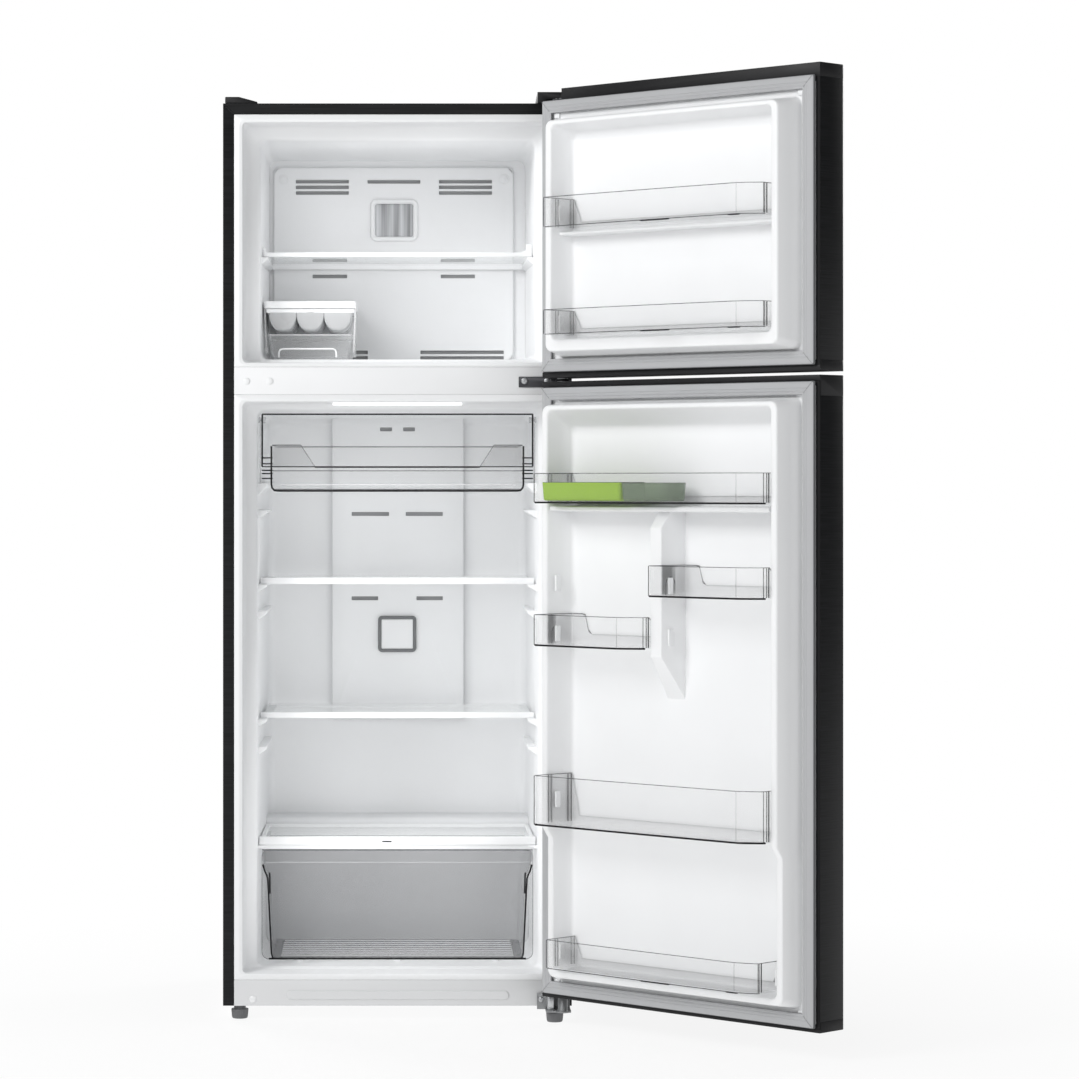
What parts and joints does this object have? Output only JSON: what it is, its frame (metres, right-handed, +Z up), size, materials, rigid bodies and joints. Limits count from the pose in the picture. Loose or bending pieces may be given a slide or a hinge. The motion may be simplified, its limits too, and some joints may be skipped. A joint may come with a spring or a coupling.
{
  "type": "top freezer refrigerator",
  "caption": "Tall two-compartment refrigerator with the freezer on top, doors swung open on right-hand hinges, glass shelves, pull-out drawers, door bins and an ice maker.",
  "frame": {"origin": "on the floor, below the middle of the box round the open refrigerator", "axes": "+Z up, +Y into the cabinet from its open front, +X to the right as seen from the front"},
  "size_m": [1.1834, 1.183, 1.862],
  "materials": {
    "case_metal": "satin charcoal with a fine horizontal brushing",
    "rear_metal": "galvanised sheet, satin",
    "face_metal": "white enamel, satin",
    "white_plastic": "vacuum formed white polystyrene, soft gloss",
    "lamp_diffuser": "frosted",
    "badge_steel": "fine brushed",
    "coil_aluminium": "mill finish",
    "coil_steel": "black enamel",
    "black_plastic": "fine grain",
    "shelf_glass": "clear, polished",
    "clear_plastic": "clear smoke, polished",
    "smoke_plastic": "smoke grey, polished",
    "gasket_rubber": "soft, matt",
    "hinge_steel": "dark zinc",
    "foot_plastic": "matt",
    "grey_plastic": "satin",
    "compressor_metal": "black enamel",
    "green_plastic": "translucent lime, satin"
  },
  "bodies": {
    "cabinet": {"side_panel_left": "case_metal", "side_panel_right": "case_metal", "top_panel": "case_metal", "rear_panel": "rear_metal", "machine_cover": "rear_metal", "base_pan": "face_metal", "freezer_liner": "white_plastic", "fridge_liner": "white_plastic", "mullion_plate": "face_metal", "led_lamp": "lamp_diffuser", "evaporator_cover": "white_plastic", "badge_plate": "badge_steel", "evaporator": "coil_aluminium", "fan_motor": "black_plastic", "freezer_shelf": "shelf_glass", "ice_frame": "white_plastic", "duct_cover": "white_plastic", "filter_cassette": "grey_plastic", "shelf_upper_frame": "white_plastic", "shelf_upper_glass": "shelf_glass", "shelf_lower_frame": "white_plastic", "shelf_lower_glass": "shelf_glass", "crisper_cover": "shelf_glass", "compressor": "compressor_metal", "condenser": "coil_steel", "top_hinge": "hinge_steel", "top_hinge_cover": "black_plastic", "top_left_cap": "black_plastic", "middle_hinge": "hinge_steel", "bottom_hinge": "hinge_steel"},
    "upper_door": {"upper_door_skin": "case_metal", "upper_door_top_cap": "black_plastic", "upper_door_bottom_cap": "black_plastic", "upper_door_liner": "white_plastic", "upper_door_gasket": "gasket_rubber", "upper_door_bin_high": "clear_plastic", "upper_door_bin_low": "clear_plastic"},
    "lower_door": {"lower_door_skin": "case_metal", "lower_door_top_cap": "black_plastic", "lower_door_bottom_cap": "black_plastic", "lower_door_liner": "white_plastic", "lower_door_gasket": "gasket_rubber", "lower_door_bin_top": "clear_plastic", "lower_door_bin_half_high": "clear_plastic", "lower_door_bin_half_low": "clear_plastic", "lower_door_bin_tall": "clear_plastic", "lower_door_bin_bottom": "clear_plastic"},
    "egg_tray": {"egg_tray": "green_plastic", "small_tray": "smoke_plastic"},
    "crisper_drawer": {"crisper_drawer": "smoke_plastic"},
    "chiller_tray": {"chiller_tray": "clear_plastic"},
    "chiller_flap": {"chiller_flap": "clear_plastic"},
    "humidity_slider": {"humidity_slider": "black_plastic"},
    "ice_tray": {"ice_tray": "white_plastic"},
    "ice_bin": {"ice_bin": "clear_plastic"},
    "fan_blade": {"fan_blade": "black_plastic"},
    "foot_left": {"foot_left": "foot_plastic"},
    "foot_right": {"foot_right": "foot_plastic"},
    "roller_left": {"roller_left": "black_plastic"},
    "roller_right": {"roller_right": "black_plastic"}
  },
  "joints": [
    {"name": "upper_door_hinge", "type": "hinge", "parent": "cabinet", "child": "upper_door", "pos_m": [0.08772, -0.07853, 1.6], "axis": [0, 0, 1], "range_deg": [-135, 0]},
    {"name": "lower_door_hinge", "type": "hinge", "parent": "cabinet", "child": "lower_door", "pos_m": [0.08772, -0.07853, 0.66], "axis": [0, 0, 1], "range_deg": [-135, 0]},
    {"name": "crisper_slide", "type": "slide", "parent": "cabinet", "child": "crisper_drawer", "axis": [0, -1, 0], "range_m": [0, 0.3]},
    {"name": "chiller_slide", "type": "slide", "parent": "cabinet", "child": "chiller_tray", "axis": [0, -1, 0], "range_m": [0, 0.25]},
    {"name": "chiller_flap_hinge", "type": "hinge", "parent": "chiller_tray", "child": "chiller_flap", "pos_m": [-0.24168, 0.08947, 1.205], "axis": [-1, 0, 0], "range_deg": [0, 85]},
    {"name": "humidity_slide", "type": "slide", "parent": "cabinet", "child": "humidity_slider", "axis": [1, 0, 0], "range_m": [-0.04, 0.04]},
    {"name": "ice_tray_slide", "type": "slide", "parent": "cabinet", "child": "ice_tray", "axis": [0, -1, 0], "range_m": [0, 0.15]},
    {"name": "ice_bin_slide", "type": "slide", "parent": "cabinet", "child": "ice_bin", "axis": [0, -1, 0], "range_m": [0, 0.2]},
    {"name": "egg_tray_slide", "type": "slide", "parent": "lower_door", "child": "egg_tray", "axis": [0.7071, -0.7071, 0], "range_m": [0, 0.18]},
    {"name": "fan_spin", "type": "hinge", "parent": "cabinet", "child": "fan_blade", "pos_m": [-0.24968, 0.43147, 1.64], "axis": [0, 1, 0], "continuous": true},
    {"name": "foot_left_turn", "type": "hinge", "parent": "cabinet", "child": "foot_left", "pos_m": [-0.55868, -0.00553, 0.01], "axis": [0, 0, 1], "continuous": true},
    {"name": "foot_right_turn", "type": "hinge", "parent": "cabinet", "child": "foot_right", "pos_m": [0.07292, -0.05553, 0.01], "axis": [0, 0, 1], "continuous": true},
    {"name": "roller_left_spin", "type": "hinge", "parent": "cabinet", "child": "roller_left", "pos_m": [-0.49168, 0.53147, 0.014], "axis": [1, 0, 0], "continuous": true},
    {"name": "roller_right_spin", "type": "hinge", "parent": "cabinet", "child": "roller_right", "pos_m": [0.00832, 0.53147, 0.014], "axis": [1, 0, 0], "continuous": true}
  ]
}
